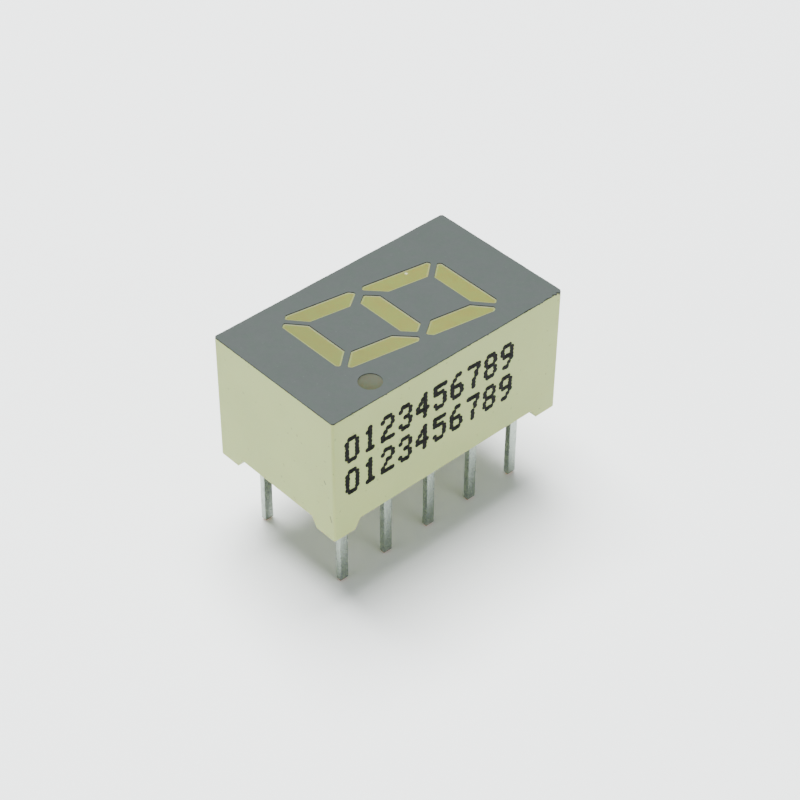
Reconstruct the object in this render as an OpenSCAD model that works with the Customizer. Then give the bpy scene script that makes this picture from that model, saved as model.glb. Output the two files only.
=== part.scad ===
// Single-digit seven segment display with a slanted digit, a round decimal point
// and two rows of through-hole pins. Millimetres. +X is the digit's right, +Y the
// digit's top and +Z the way the face looks. The pin tips stand on z = 0.

/* [Housing] */
// Distance from the middle of a pin row to the housing's side
side_margin = 1.21; // [1.1:0.01:1.6]
// Distance from the middle of an end pin to the housing's end
end_margin = 1.42; // [1.3:0.02:2.6]
// Height from the feet to the printed face
body_h = 6.5; // [5.8:0.1:8]
// Thickness of the outer walls round the back cavity
wall_t = 0.6; // [0.4:0.05:0.6]
// Radius of the four upright corners
corner_r = 0.12; // [0.08:0.02:0.3]
// Thickness of the grey coat on the face
ink_t = 0.04; // [0.02:0.01:0.1]
// Height of the corner feet below the lower rim
foot_h = 0.5; // [0.2:0.05:0.7]
// Width of each corner foot at its sole
foot_w = 1.15; // [0.8:0.05:1.4]
// Sideways run of the slope beside each foot
foot_slope = 0.3; // [0.1:0.05:0.4]

/* [Digit] */
// Height of the digit from outer edge to outer edge
digit_h = 8; // [7:0.1:8.6]
// Width of the digit before it is slanted
digit_w = 4.46; // [4:0.02:4.6]
// Slant of the digit in degrees
slant = 10; // [6:0.5:11]
// Width of the strokes round the outside
stroke = 0.92; // [0.7:0.02:1]
// Width of the middle stroke
middle_stroke = 0.98; // [0.7:0.02:1.1]
// Half of the gap where two strokes are mitred together
mitre_gap = 0.13; // [0.08:0.01:0.2]
// Half of the gap between upper and lower upright strokes
waist_gap = 0.2; // [0.1:0.01:0.3]
// Gap between the middle stroke's ends and the uprights
middle_gap = 0.17; // [0.1:0.01:0.25]
// Radius that softens each stroke's corners
segment_r = 0.07; // [0.03:0.01:0.1]
// Length of the blunted tips of the strokes
blunt = 0.17; // [0.1:0.01:0.2]
// Diameter of the decimal point
point_d = 1; // [0.8:0.05:1.1]
// Distance from the housing's side to the middle of the decimal point
point_inset = 1.03; // [1:0.01:1.1]
// Distance from the housing's lower end to the middle of the decimal point
point_end = 2.88; // [2.7:0.02:2.9]

/* [Resin] */
// How far the cast resin lies below the printed face in the strokes
window_drop = 0.05; // [0.02:0.01:0.1]
// Extra depth of the dimple in the decimal point
dimple_drop = 0.14; // [0.05:0.01:0.2]
// How far the resin lies above the lower rim at the back
back_drop = 0.2; // [0.1:0.05:0.35]
// Height of the resin that creeps up each pin
creep_h = 0.16; // [0.05:0.01:0.18]
// Share of a stroke's length that its light well keeps at the board
well_length_share = 0.48; // [0.44:0.02:0.6]
// Share of a stroke's width that its light well keeps at the board
well_width_share = 0.72; // [0.66:0.02:0.9]

/* [Circuit board] */
// Thickness of the circuit board
board_t = 0.8; // [0.6:0.05:1]
// Gap between the board's edge and the wall
board_gap = 0.15; // [0.1:0.05:0.2]
// Resin space between the board and the light wells
board_relief = 0.15; // [0.12:0.01:0.25]
// Width of the two ledges that the board's ends are seated on
seat_w = 2.4; // [1.5:0.1:3]
// Depth of those ledges over the board's ends
seat_d = 0.25; // [0.15:0.05:0.3]
// Thickness of the resin behind the board
back_fill = 0.8; // [0.6:0.05:1]
// Thickness of the copper tracks
copper_t = 0.035; // [0.02:0.005:0.05]
// Width of the copper tracks
track_w = 0.25; // [0.15:0.01:0.3]

/* [Pins] */
// Distance between neighbouring pins in a row
pin_pitch = 2.54; // [2.4:0.02:2.6]
// Distance between the two rows
row_spacing = 5.08; // [4.9:0.02:7.62]
// Width of a pin along its row
pin_w = 0.45; // [0.35:0.05:0.5]
// Thickness of a pin across its row
pin_t = 0.3; // [0.2:0.05:0.35]
// Free length of the pins below the feet
pin_free = 4; // [2.5:0.1:6]
// Length of the cut chamfer at each pin's tip
tip_h = 0.12; // [0.05:0.01:0.25]
// How far a pin's head stands past the board
pin_proud = 0.06; // [0.02:0.01:0.1]
// Radial clearance of the plated hole round a pin's corners
hole_gap = 0.03; // [0.02:0.01:0.05]
// Thickness of the plating in the holes
plating_t = 0.03; // [0.02:0.005:0.05]
// Width of the copper ring round each hole
ring_w = 0.13; // [0.08:0.01:0.14]
// Height of the solder fillet behind the board
solder_h = 0.38; // [0.2:0.02:0.5]

/* [Light emitting dice] */
// Side of each square die
die_w = 0.28; // [0.2:0.02:0.32]
// Height of each die
die_h = 0.2; // [0.12:0.02:0.25]
// Thickness of the silver glue under each die
glue_t = 0.02; // [0.01:0.005:0.03]
// Side of the copper pad under each die
die_pad_w = 0.4; // [0.36:0.02:0.44]
// Reach of the bond wires from the die to their landing
wire_reach = 0.5; // [0.46:0.02:0.54]
// Diameter of the bond wires
wire_d = 0.03; // [0.025:0.005:0.04]
// Side of the copper landing under each bond wire
landing_w = 0.26; // [0.22:0.02:0.28]

/* [Hidden] */
// Pins in each row, one for each net on its side
row_pins = 5;
NAMES = ["a", "b", "c", "d", "e", "f", "g", "point"];
// The pin that each stroke's own net runs to; the middle pins, 3 and 8, are common
NET_PINS = [10, 9, 7, 5, 4, 2, 1, 6];
$fn = 48;

// Heights, counted from the pin tips
foot_z = pin_free;
rim_z = foot_z + foot_h;
face_z = foot_z + body_h;
shell_z = face_z - ink_t;
window_z = face_z - window_drop;
back_z = rim_z + back_drop;
board_z = back_z + back_fill;
board_top = board_z + board_t;
well_z = board_top + board_relief;
copper_top = board_top + copper_t;
die_z = copper_top + glue_t;
die_top = die_z + die_h;

// Sizes that follow from the pin grid and the digit
body_w = row_spacing + 2 * side_margin;
body_l = (row_pins - 1) * pin_pitch + 2 * end_margin;
point_x = body_w / 2 - point_inset;
point_y = point_end - body_l / 2;
cavity_w = body_w - 2 * wall_t;
cavity_l = body_l - 2 * wall_t;
board_w = cavity_w - 2 * board_gap;
board_l = cavity_l - 2 * board_gap;
barrel_r = norm([pin_w, pin_t]) / 2 + hole_gap;
hole_r = barrel_r + plating_t;
ring_r = hole_r + ring_w;
// A cutter passes its surface by this much
cut = wall_t / 6;
// Steps of the arc at each corner of a stroke
arc_steps = 4;

// Half sizes of the upright digit
out_x = digit_w / 2;
out_y = digit_h / 2;
in_x = out_x - stroke;
in_y = out_y - stroke;
half_middle = middle_stroke / 2;
// A mitre's gap measured along a stroke
mitre_run = mitre_gap * sqrt(2);

// The outlines of the strokes, before they are slanted
function flat_stroke(s) = [
    [-out_x + mitre_run + blunt * 2, s * out_y],
    [-out_x + mitre_run + blunt, s * (out_y - blunt)],
    [-in_x + mitre_run, s * in_y],
    [in_x - mitre_run, s * in_y],
    [out_x - mitre_run - blunt, s * (out_y - blunt)],
    [out_x - mitre_run - blunt * 2, s * out_y]
];
function upright_stroke(sx, sy) = [
    [sx * out_x, sy * (out_y - mitre_run - blunt * 2)],
    [sx * (out_x - blunt / 2), sy * (out_y - mitre_run - blunt * 1.5)],
    [sx * in_x, sy * (in_y - mitre_run)],
    [sx * in_x, sy * (half_middle + stroke / 2)],
    [sx * (out_x - blunt), sy * waist_gap],
    [sx * out_x, sy * (waist_gap + blunt)]
];
function middle_bar() = [
    [-in_x + middle_gap / 4, half_middle],
    [-in_x - stroke / 2 + middle_gap / 2, 0],
    [-in_x + middle_gap / 4, -half_middle],
    [in_x - middle_gap / 4, -half_middle],
    [in_x + stroke / 2 - middle_gap / 2, 0],
    [in_x - middle_gap / 4, half_middle]
];
FLAT_OUTLINES = [
    flat_stroke(1),
    upright_stroke(1, 1),
    upright_stroke(1, -1),
    flat_stroke(-1),
    upright_stroke(-1, -1),
    upright_stroke(-1, 1),
    middle_bar()
];

function slanted(p) = [p.x + p.y * tan(slant), p.y];
function total(v, i = 0) = i == len(v) ? [0, 0] : v[i] + total(v, i + 1);
function middle(points) = total(points) / len(points);
function turn(a, b, c) = cross(b - a, c - b);
function unit(v) = v / norm(v);

// One corner as an arc of the given radius, tangent to both of its sides
function corner_arc(a, b, c, r) =
    let (
        to_a = unit(a - b),
        to_c = unit(c - b),
        half = acos(to_a * to_c) / 2,
        centre = b + unit(to_a + to_c) * r / sin(half),
        first = b + to_a * r / tan(half) - centre,
        sweep = (180 - 2 * half) * sign(turn(a, b, c))
    )
    [for (k = [0:arc_steps])
        let (t = sweep * k / arc_steps)
        centre + [first.x * cos(t) - first.y * sin(t), first.x * sin(t) + first.y * cos(t)]];

// A closed outline with every corner softened
function softened(points, r) =
    let (n = len(points))
    [for (i = [0:n - 1])
        for (p = corner_arc(points[(i + n - 1) % n], points[i], points[(i + 1) % n], r)) p];

OUTLINES = [for (flat = FLAT_OUTLINES) [for (p = flat) slanted(p)]];

// The dice sit at the middle of their strokes, each with its wire's direction
LONG_WAY = unit(slanted([0, 1]));
WIRE_WAYS = [[1, 0], LONG_WAY, -LONG_WAY, [-1, 0], -LONG_WAY, LONG_WAY, [-1, 0], [0, -1]];
CENTRES = concat([for (o = OUTLINES) middle(o)], [[point_x, point_y]]);
function die_place(i) = CENTRES[i] - WIRE_WAYS[i] * wire_reach / 2;
function landing_place(i) = die_place(i) + WIRE_WAYS[i] * wire_reach;

// Pins are numbered down the left row and back up the right row
function pin_place(i) =
    let (left = i <= row_pins, step = left ? i - 1 : 2 * row_pins - i)
    [(left ? -1 : 1) * row_spacing / 2, ((row_pins - 1) / 2 - step) * pin_pitch];

module rounded_plate(w, l, r) {
    square([w - 2 * r, l], center = true);
    square([w, l - 2 * r], center = true);
    for (x = [-1, 1], y = [-1, 1])
        translate([x * (w / 2 - r), y * (l / 2 - r)]) circle(r);
}

// A light well: its mouth is the stroke and its floor a smaller stroke round the die
module light_well(i) {
    mouth = softened(OUTLINES[i], segment_r);
    centre = CENTRES[i];
    along = i == 1 || i == 2 || i == 4 || i == 5 ? LONG_WAY : [1, 0];
    across = [-along.y, along.x];
    floor_points = [for (p = mouth)
        let (d = p - centre)
        centre + along * (d * along) * well_length_share + across * (d * across) * well_width_share];
    n = len(mouth);
    faces = concat(
        [[for (k = [0:n - 1]) k]],
        [[for (k = [n - 1:-1:0]) n + k]],
        [for (k = [0:n - 1]) [k, n + k, (k + 1) % n]],
        [for (k = [0:n - 1]) [(k + 1) % n, n + k, n + (k + 1) % n]]
    );
    clockwise = turn(OUTLINES[i][0], OUTLINES[i][1], OUTLINES[i][2]) < 0;
    points = concat(
        [for (p = floor_points) [p.x, p.y, well_z - cut]],
        [for (p = mouth) [p.x, p.y, face_z + cut]]
    );
    polyhedron(points, clockwise ? [for (f = faces) [for (k = [len(f) - 1:-1:0]) f[k]]] : faces);
}

// All the ways from the board to the face, which pass the face by a little
module light_paths() {
    for (i = [0:6]) light_well(i);
    translate([point_x, point_y, well_z - cut])
        cylinder(d = point_d, h = face_z - well_z + 2 * cut);
}

// The notch that parts two feet, as a profile with sloped ends
module notch(length) {
    gap = length / 2 - foot_w;
    lift = foot_slope * cut / foot_h;
    polygon([[-gap - lift, -cut], [gap + lift, -cut], [gap - foot_slope, foot_h], [-gap + foot_slope, foot_h]]);
}

module back_cavity(low, high) {
    translate([-cavity_w / 2, -cavity_l / 2, low]) cube([cavity_w, cavity_l, high - low]);
}

// Ledges of the housing that the board's front is seated on, one at each end
module seats() {
    depth = board_gap + seat_d;
    for (y = [-1, 1])
        translate([0, y * (cavity_l - depth) / 2, (board_top + well_z) / 2])
            cube([seat_w, depth, well_z - board_top], center = true);
}

module housing() {
    color([0.80, 0.82, 0.70]) difference() {
        union() {
            difference() {
                translate([0, 0, foot_z])
                    linear_extrude(shell_z - foot_z) rounded_plate(body_w, body_l, corner_r);
                back_cavity(foot_z - cut, well_z);
                translate([-body_w / 2 - cut, 0, foot_z]) rotate([90, 0, 90])
                    linear_extrude(body_w + 2 * cut) notch(body_l);
                translate([0, body_l / 2 + cut, foot_z]) rotate([90, 0, 0])
                    linear_extrude(body_l + 2 * cut) notch(body_w);
            }
            seats();
        }
        light_paths();
    }
}

module face_coat() {
    color([0.45, 0.48, 0.47]) difference() {
        translate([0, 0, shell_z]) linear_extrude(ink_t) rounded_plate(body_w, body_l, corner_r);
        light_paths();
    }
}

// Everything that is cast into the resin or that the housing keeps free of it
module embedded() {
    translate([-board_w / 2, -board_l / 2, board_z]) cube([board_w, board_l, board_t]);
    seats();
    copper_layer(board_top);
    copper_rings(board_z - copper_t);
    for (i = [0:7]) {
        die_body(i);
        glue_pad(i);
        wire_shape(i);
    }
    for (i = [1:2 * row_pins]) {
        pin_blank(i);
        solder_blank(i);
    }
}

// A shallow lens of air that leaves the decimal point dished
module dimple() {
    rise = dimple_drop;
    rad = (point_d * point_d / 4 + rise * rise) / (2 * rise);
    translate([point_x, point_y, window_z + rad - rise])
        rotate_extrude() intersection() {
            circle(rad, $fn = 96);
            translate([0, -rad]) square([rad, rad]);
        }
}

module resin() {
    color([0.70, 0.69, 0.46]) difference() {
        union() {
            back_cavity(back_z, well_z);
            light_paths();
            for (i = [1:2 * row_pins])
                translate([pin_place(i).x, pin_place(i).y, back_z - creep_h])
                    cylinder(r1 = barrel_r, r2 = ring_r, h = creep_h + cut);
        }
        translate([-body_w / 2, -body_l / 2, window_z]) cube([body_w, body_l, face_z]);
        dimple();
        embedded();
    }
}

module circuit_board() {
    color([0.62, 0.66, 0.36]) difference() {
        translate([-board_w / 2, -board_l / 2, board_z]) cube([board_w, board_l, board_t]);
        for (i = [1:2 * row_pins])
            translate([pin_place(i).x, pin_place(i).y, board_z - cut])
                cylinder(r = hole_r, h = board_t + 2 * cut);
    }
}

module track(from, to) {
    way = to - from;
    translate(from) rotate(atan2(way.y, way.x))
        translate([-track_w / 2, -track_w / 2]) square([norm(way) + track_w, track_w]);
}

module route(points) {
    for (k = [0:len(points) - 2]) track(points[k], points[k + 1]);
}

module pad(place, side) {
    translate(place) square(side, center = true);
}

module ring(i) {
    translate(pin_place(i)) difference() {
        circle(ring_r);
        circle(barrel_r);
    }
}

// The common net joins the two middle pins and carries every die
module common_net() {
    left = pin_place(3);
    right = pin_place(8);
    spine = die_place(6);
    bend = [die_place(3).x, -in_y * 2 / 3];
    detour_x = -in_x * 0.85;
    difference() {
        union() {
            route([right, spine, [spine.x, -stroke], bend, die_place(3), die_place(7)]);
            route([left, [detour_x, 0], [detour_x, -stroke], bend]);
            route([[die_place(0).x, 0], die_place(0)]);
            for (i = [1, 2, 4, 5]) route([[die_place(i).x, 0], die_place(i)]);
            for (i = [0:7]) pad(die_place(i), die_pad_w);
        }
        for (i = [3, 8]) translate(pin_place(i)) circle(barrel_r);
    }
    ring(3);
    ring(8);
}

// One stroke's own net, from its wire's landing to its pin
module signal_net(i) {
    pin = NET_PINS[i];
    difference() {
        union() {
            route([landing_place(i), [landing_place(i).x, pin_place(pin).y], pin_place(pin)]);
            pad(landing_place(i), landing_w);
        }
        translate(pin_place(pin)) circle(barrel_r);
    }
    ring(pin);
}

module copper_plan() {
    common_net();
    for (i = [0:7]) signal_net(i);
}

module copper_layer(low) {
    translate([0, 0, low]) linear_extrude(copper_t) copper_plan();
}

module copper_rings(low) {
    translate([0, 0, low]) linear_extrude(copper_t) for (i = [1:2 * row_pins]) ring(i);
}

// Tracks and rings on both sides, joined through the holes by their plating
module copper() {
    color([0.80, 0.62, 0.28]) {
        copper_layer(board_top);
        copper_rings(board_z - copper_t);
        for (i = [1:2 * row_pins])
            translate([pin_place(i).x, pin_place(i).y, board_z]) difference() {
                cylinder(r = hole_r, h = board_t);
                translate([0, 0, -cut]) cylinder(r = barrel_r, h = board_t + 2 * cut);
            }
    }
}

module glue_pad(i) {
    translate([die_place(i).x, die_place(i).y, copper_top]) linear_extrude(glue_t)
        square(die_w + 2 * glue_t, center = true);
}

module die_body(i) {
    translate([die_place(i).x, die_place(i).y, die_z]) linear_extrude(die_h)
        square(die_w, center = true);
}

// A bond wire's half loop, with its ball on the die and its flat foot on the landing
module wire_shape(i) {
    foot_t = wire_d / 2;
    ball_h = wire_d;
    rise = die_top + ball_h - copper_top - foot_t;
    reach = norm([wire_reach, rise]);
    tilt = atan2(rise, wire_reach);
    heading = atan2(WIRE_WAYS[i].y, WIRE_WAYS[i].x);
    translate([die_place(i).x, die_place(i).y, 0]) {
        translate([0, 0, die_top]) cylinder(d = 3 * wire_d, h = ball_h);
        rotate(heading) {
            translate([0, 0, die_top + ball_h]) rotate([90, tilt, 0])
                translate([reach / 2, 0, 0])
                    rotate_extrude(angle = 180) translate([reach / 2, 0]) circle(d = wire_d, $fn = 16);
            translate([wire_reach - wire_d, -wire_d, copper_top])
                cube([2 * wire_d, 2 * wire_d, 2 * foot_t]);
        }
    }
}

// A pin's straight blank, without the chamfers at its tip
module pin_blank(i) {
    translate([pin_place(i).x - pin_t / 2, pin_place(i).y - pin_w / 2, 0])
        cube([pin_t, pin_w, board_top + pin_proud]);
}

module pin(i) {
    bevel = pin_t / 4;
    color([0.78, 0.79, 0.80]) intersection() {
        pin_blank(i);
        translate([pin_place(i).x, pin_place(i).y + pin_w, 0]) rotate([90, 0, 0])
            linear_extrude(2 * pin_w) polygon([
                [-pin_t / 2 + bevel, 0],
                [pin_t / 2 - bevel, 0],
                [pin_t / 2, tip_h],
                [pin_t / 2, board_top + 1],
                [-pin_t / 2, board_top + 1],
                [-pin_t / 2, tip_h]
            ]);
    }
}

// Solder fills a hole and rises as a fillet behind the board
module solder_blank(i) {
    translate([pin_place(i).x, pin_place(i).y, board_z - copper_t]) {
        cylinder(r = barrel_r, h = board_t + 2 * copper_t);
        translate([0, 0, -solder_h]) cylinder(r1 = barrel_r, r2 = ring_r, h = solder_h);
    }
}

module solder(i) {
    color([0.70, 0.71, 0.72]) difference() {
        solder_blank(i);
        pin_blank(i);
    }
}

housing();
face_coat();
resin();
circuit_board();
copper();
for (i = [0:7]) {
    color([0.85, 0.75, 0.35]) die_body(i);
    color([0.75, 0.75, 0.77]) glue_pad(i);
    color([0.90, 0.75, 0.35]) wire_shape(i);
}
for (i = [1:2 * row_pins]) {
    pin(i);
    solder(i);
}
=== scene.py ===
"""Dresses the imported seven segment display: moulding, printed face, cast resin, pins and ink marks."""

import math
import random

import bmesh
import bpy
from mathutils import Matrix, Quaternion, Vector


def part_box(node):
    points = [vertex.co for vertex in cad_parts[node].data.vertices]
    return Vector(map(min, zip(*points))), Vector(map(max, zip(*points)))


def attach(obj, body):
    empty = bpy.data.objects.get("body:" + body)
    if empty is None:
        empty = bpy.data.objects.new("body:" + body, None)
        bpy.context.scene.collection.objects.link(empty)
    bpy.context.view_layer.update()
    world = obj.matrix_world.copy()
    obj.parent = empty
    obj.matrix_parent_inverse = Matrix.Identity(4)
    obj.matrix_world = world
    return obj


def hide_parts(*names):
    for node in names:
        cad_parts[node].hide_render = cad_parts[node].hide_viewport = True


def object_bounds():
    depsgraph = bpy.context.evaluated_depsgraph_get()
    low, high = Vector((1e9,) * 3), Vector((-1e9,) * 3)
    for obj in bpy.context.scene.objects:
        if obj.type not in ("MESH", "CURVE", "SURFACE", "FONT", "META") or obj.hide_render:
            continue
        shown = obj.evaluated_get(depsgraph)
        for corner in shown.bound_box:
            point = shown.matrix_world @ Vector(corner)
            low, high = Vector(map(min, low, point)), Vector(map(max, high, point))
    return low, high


bl_info = {
    "name": "Seven segment display",
    "version": (1, 0, 0),
    "blender": (4, 5, 0),
    "location": "3D View > Sidebar > Display",
    "description": "Makes the visible pieces and finishes of a single-digit display around its frame",
    "category": "Object",
}

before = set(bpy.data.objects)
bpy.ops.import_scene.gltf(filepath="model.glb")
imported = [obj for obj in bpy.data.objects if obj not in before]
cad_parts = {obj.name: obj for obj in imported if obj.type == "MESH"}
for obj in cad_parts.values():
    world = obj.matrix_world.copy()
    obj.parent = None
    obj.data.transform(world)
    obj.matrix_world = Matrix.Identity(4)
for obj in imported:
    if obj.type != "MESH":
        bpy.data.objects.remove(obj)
cad_low, cad_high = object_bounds()

housing_low, housing_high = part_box("housing")
coat_low, coat_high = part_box("face_coat")
board_low, board_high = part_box("circuit_board")

MM = 0.001
BODY = "root"
STROKES = "abcdefg"
UPRIGHT_STROKES = "bcef"
PINS = range(1, 11)
# How far a cutter reaches past the faces that it opens
OVERLAP = 0.1 * MM
# Waves along a pin: radians over its length and share of the unevenness across it, radians the other
# way, and the most radians that a pin's own waves are shifted by
PIN_WAVES_X = ((23, 0.5), (51, 0.3))
PIN_WAVES_Y = 17
PIN_WAVE_SHIFT = 3
# Two small scratches that the end wall shows near its front corner, and half of their width
SCRATCHES = (
    ((3.48 * MM, housing_low.y, 5.35 * MM), (3.60 * MM, housing_low.y, 5.00 * MM)),
    ((3.16 * MM, housing_low.y, 7.12 * MM), (3.26 * MM, housing_low.y, 6.92 * MM)),
)
SCRATCH_HALF_WIDTH = 0.05 * MM
# Spots of ink over the upper edge of the right side: their place along it, their height and their reach
INK_SPOTS = (
    (6.36 * MM, 10.43 * MM, 0.105 * MM),
    (6.15 * MM, 10.45 * MM, 0.075 * MM),
    (5.87 * MM, 10.46 * MM, 0.05 * MM),
    (5.31 * MM, 10.46 * MM, 0.06 * MM),
    (5.16 * MM, 10.46 * MM, 0.06 * MM),
    (2.10 * MM, 10.46 * MM, 0.07 * MM),
    (-3.60 * MM, 10.46 * MM, 0.07 * MM),
)
# Places along the right edge where the coat bulges out (+) or falls short (-), their reach and depth
BULGES = (
    (6.36 * MM, 0.08 * MM, 0.040 * MM),
    (6.25 * MM, 0.05 * MM, -0.070 * MM),
    (6.15 * MM, 0.06 * MM, 0.030 * MM),
    (6.01 * MM, 0.08 * MM, -0.045 * MM),
    (5.87 * MM, 0.07 * MM, 0.022 * MM),
    (5.60 * MM, 0.18 * MM, -0.030 * MM),
    (5.31 * MM, 0.07 * MM, 0.024 * MM),
    (5.16 * MM, 0.07 * MM, 0.026 * MM),
    (4.45 * MM, 0.30 * MM, -0.020 * MM),
    (2.10 * MM, 0.10 * MM, 0.014 * MM),
    (-1.30 * MM, 0.12 * MM, -0.018 * MM),
    (-3.60 * MM, 0.08 * MM, 0.016 * MM),
    (-5.45 * MM, 0.06 * MM, -0.035 * MM),
)
# Steps in which the coat's outer edge is walked
EDGE_STEP = 0.035 * MM
# Bright fleck on the upper left stroke, and its colour
FLECK = (-1.62 * MM, 2.38 * MM, coat_high.z)
FLECK_SHADE = (0.50, 0.52, 0.38)
# Rings in which a stroke's window is dished: their width and their share of the depth
WINDOW_RINGS = ((0.045 * MM, 0.6), (0.045 * MM, 0.4))
# Share of that depth down to which the resin is rim, which gets a painted highlight
RIM_SHARE = 0.8
# How near a vertex lies to a corner of an outline that it belongs to
TOUCH = 0.005 * MM
# Rings in which the decimal point is dished
POINT_RINGS = 8
# Rings in which the filling is drawn up along the walls: their width and their depth
BACK_RINGS = ((0.05 * MM, 0.045 * MM), (0.07 * MM, 0.025 * MM), (0.12 * MM, 0.012 * MM))
# Radius of the resin drawn along a pin at its foot and at its neck, and how far its foot is sunk
CREEP_FOOT = 0.62 * MM
CREEP_NECK = 0.24 * MM
CREEP_SINK = 0.02 * MM
# Scale of the wave texture that draws the laminate's glass threads, and how uneven they are
WEAVE_SCALE = 700.0
WEAVE_WAVER = 0.6
# Laminate between its threads and on them
LAMINATE_SHADES = ((0.34, 0.37, 0.12), (0.50, 0.52, 0.24))
# Metal that shows where a pin was cut
BARE_METAL = (0.62, 0.30, 0.13)
# Five dots wide and seven tall, from the top row down
DOT_DIGITS = {
    "0": ("01110", "10001", "10001", "10001", "10001", "10001", "01110"),
    "1": ("00100", "01100", "00100", "00100", "00100", "00100", "01110"),
    "2": ("01110", "10001", "00001", "00110", "01000", "10000", "11111"),
    "3": ("01110", "10001", "00001", "00110", "00001", "10001", "01110"),
    "4": ("00010", "00110", "01010", "10010", "11111", "00010", "00010"),
    "5": ("11111", "10000", "11110", "00001", "00001", "10001", "01110"),
    "6": ("00110", "01000", "10000", "11110", "10001", "10001", "01110"),
    "7": ("11111", "00001", "00010", "00010", "00100", "00100", "00100"),
    "8": ("01110", "10001", "10001", "01110", "10001", "10001", "01110"),
    "9": ("01110", "10001", "10001", "01111", "00001", "00010", "01100"),
}
# Rows of marks on the side: their digits, the place of the first and the height of their upper dots
MARK_ROWS = (("0123456789", -5.75 * MM, 9.2 * MM), ("0123456789", -5.75 * MM, 7.45 * MM))
MARK_PITCH = 0.975 * MM
DOT_STEP = Vector((0.135 * MM, 0.19 * MM))
DOT_RADIUS = 0.132 * MM
DOT_HEIGHT = 0.006 * MM
DOT_STRAY = 0.012 * MM
# Square soft lights: name, place, side in metres, power in watts and tint
LIGHTS = (
    ("key_softbox", (-0.12, 0.03, 0.47), 0.32, 9.0, (1.0, 0.99, 0.97)),
    ("right_softbox", (0.46, 0.06, 0.16), 0.26, 0.55, (0.98, 0.99, 1.0)),
    ("front_softbox", (-0.04, -0.46, 0.16), 0.26, 0.5, (1.0, 1.0, 0.99)),
)
SURROUND = (0.93, 0.97, 1.0, 1)
SURROUND_STRENGTH = 0.4
SENSOR_WIDTH = 36


def length(name, description, default, **more):
    """A length property in metres."""
    return bpy.props.FloatProperty(
        name=name, description=description, default=default, unit="LENGTH", precision=6, **more
    )


def colour(name, description, default):
    """A colour property, whose default is written as a screen colour."""
    return bpy.props.FloatVectorProperty(
        name=name, description=description, default=from_screen(default), subtype="COLOR", size=3,
        min=0, max=1
    )


def from_screen(rgb):
    """Linear values of a colour given in the 0 to 255 steps of a screen."""
    steps = [value / 255 for value in rgb]
    return tuple(c / 12.92 if c <= 0.04045 else ((c + 0.055) / 1.055) ** 2.4 for c in steps)


class MouldingSettings(bpy.types.PropertyGroup):
    """Sizes and colours of the moulded body and its printed face."""

    wall: length("Wall", "Thickness of the walls round the back cavity", 0.6 * MM)
    corner_radius: length("Corner radius", "Radius of the four upright corners", 0.12 * MM)
    edge_softness: length("Edge softness", "Rounding of the moulded edges", 0.035 * MM)
    foot_height: length("Foot height", "Height of the corner feet below the rim", 0.5 * MM)
    foot_width: length("Foot width", "Width of a corner foot at its sole", 1.15 * MM)
    foot_slope: length("Foot slope", "Sideways run of the slope beside a foot", 0.3 * MM)
    print_margin: length("Print margin", "Bare edge between the strokes and the printed coat", 0.008 * MM)
    print_waver: length("Print waver", "How far the coat's outer edge wavers", 0.022 * MM)
    plastic: colour("Plastic", "Colour of the moulded plastic", (163, 176, 108))
    coat: colour("Coat", "Colour of the printed face", (52, 59, 57))
    mark: colour("Mark", "Colour of the printed marks", (5, 6, 3))


class DigitSettings(bpy.types.PropertyGroup):
    """Sizes of the digit and the colours of its resin."""

    height: length("Digit height", "Height of the digit from outer edge to outer edge", 8 * MM)
    width: length("Digit width", "Width of the digit before it is slanted", 4.46 * MM)
    slant: bpy.props.FloatProperty(
        name="Slant", description="Slant of the digit", default=math.radians(10), subtype="ANGLE"
    )
    stroke: length("Stroke", "Width of the outer strokes", 0.92 * MM)
    middle_stroke: length("Middle stroke", "Width of the middle stroke", 0.98 * MM)
    mitre_gap: length("Mitre gap", "Half of the gap at a mitre", 0.13 * MM)
    waist_gap: length("Waist gap", "Half of the gap between the uprights", 0.15 * MM)
    middle_gap: length("Middle gap", "Gap at the middle stroke's ends", 0.17 * MM)
    blunt: length("Blunt", "Length cut off the tips that the slant makes sharper", 0.22 * MM)
    blunt_wide: length("Blunt wide", "Length cut off the tips that the slant opens", 0.13 * MM)
    softening: length("Softening", "Radius of the strokes' corners", 0.1 * MM)
    point_size: length("Point size", "Diameter of the decimal point", 1.04 * MM)
    point_inset: length("Point inset", "Distance from the side to the decimal point", 0.99 * MM)
    point_end: length("Point end", "Distance from the lower end to the decimal point", 2.9 * MM)
    # Painted light: this turn only picks which edges of each stroke get a painted highlight (those facing
    # it) and which a painted shadow; the print is not moved
    edge_light_turn: bpy.props.FloatProperty(
        name="Print shift", description="Way in which the print lies off the moulding",
        default=math.radians(-45), subtype="ANGLE"
    )
    window_drop: length("Window drop", "Depth of the resin below the face", 0.038 * MM)
    meniscus: length("Meniscus", "Depth of the resin below the face where it meets the moulding", 0.028 * MM)
    dimple: length("Dimple", "Depth of the dish in the decimal point", 0.06 * MM)
    back_drop: length("Back drop", "Depth of the resin inside the rim at the back", 0.2 * MM)
    relief: length("Relief", "Space between the board and the light wells", 0.15 * MM)
    floor_length: bpy.props.FloatProperty(
        name="Floor length", description="Share of a stroke's length at the board",
        default=0.48, subtype="FACTOR"
    )
    floor_width: bpy.props.FloatProperty(
        name="Floor width", description="Share of a stroke's width at the board",
        default=0.72, subtype="FACTOR"
    )
    resin: colour("Resin", "Colour of the diffusing resin", (93, 100, 34))
    # Painted highlight: the pale colour that the strokes' rims and their near edges are given
    rim: colour("Rim", "Colour of the thin edge of each stroke", (122, 127, 84))
    point: colour("Point", "Colour of the decimal point", (59, 62, 46))


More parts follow.
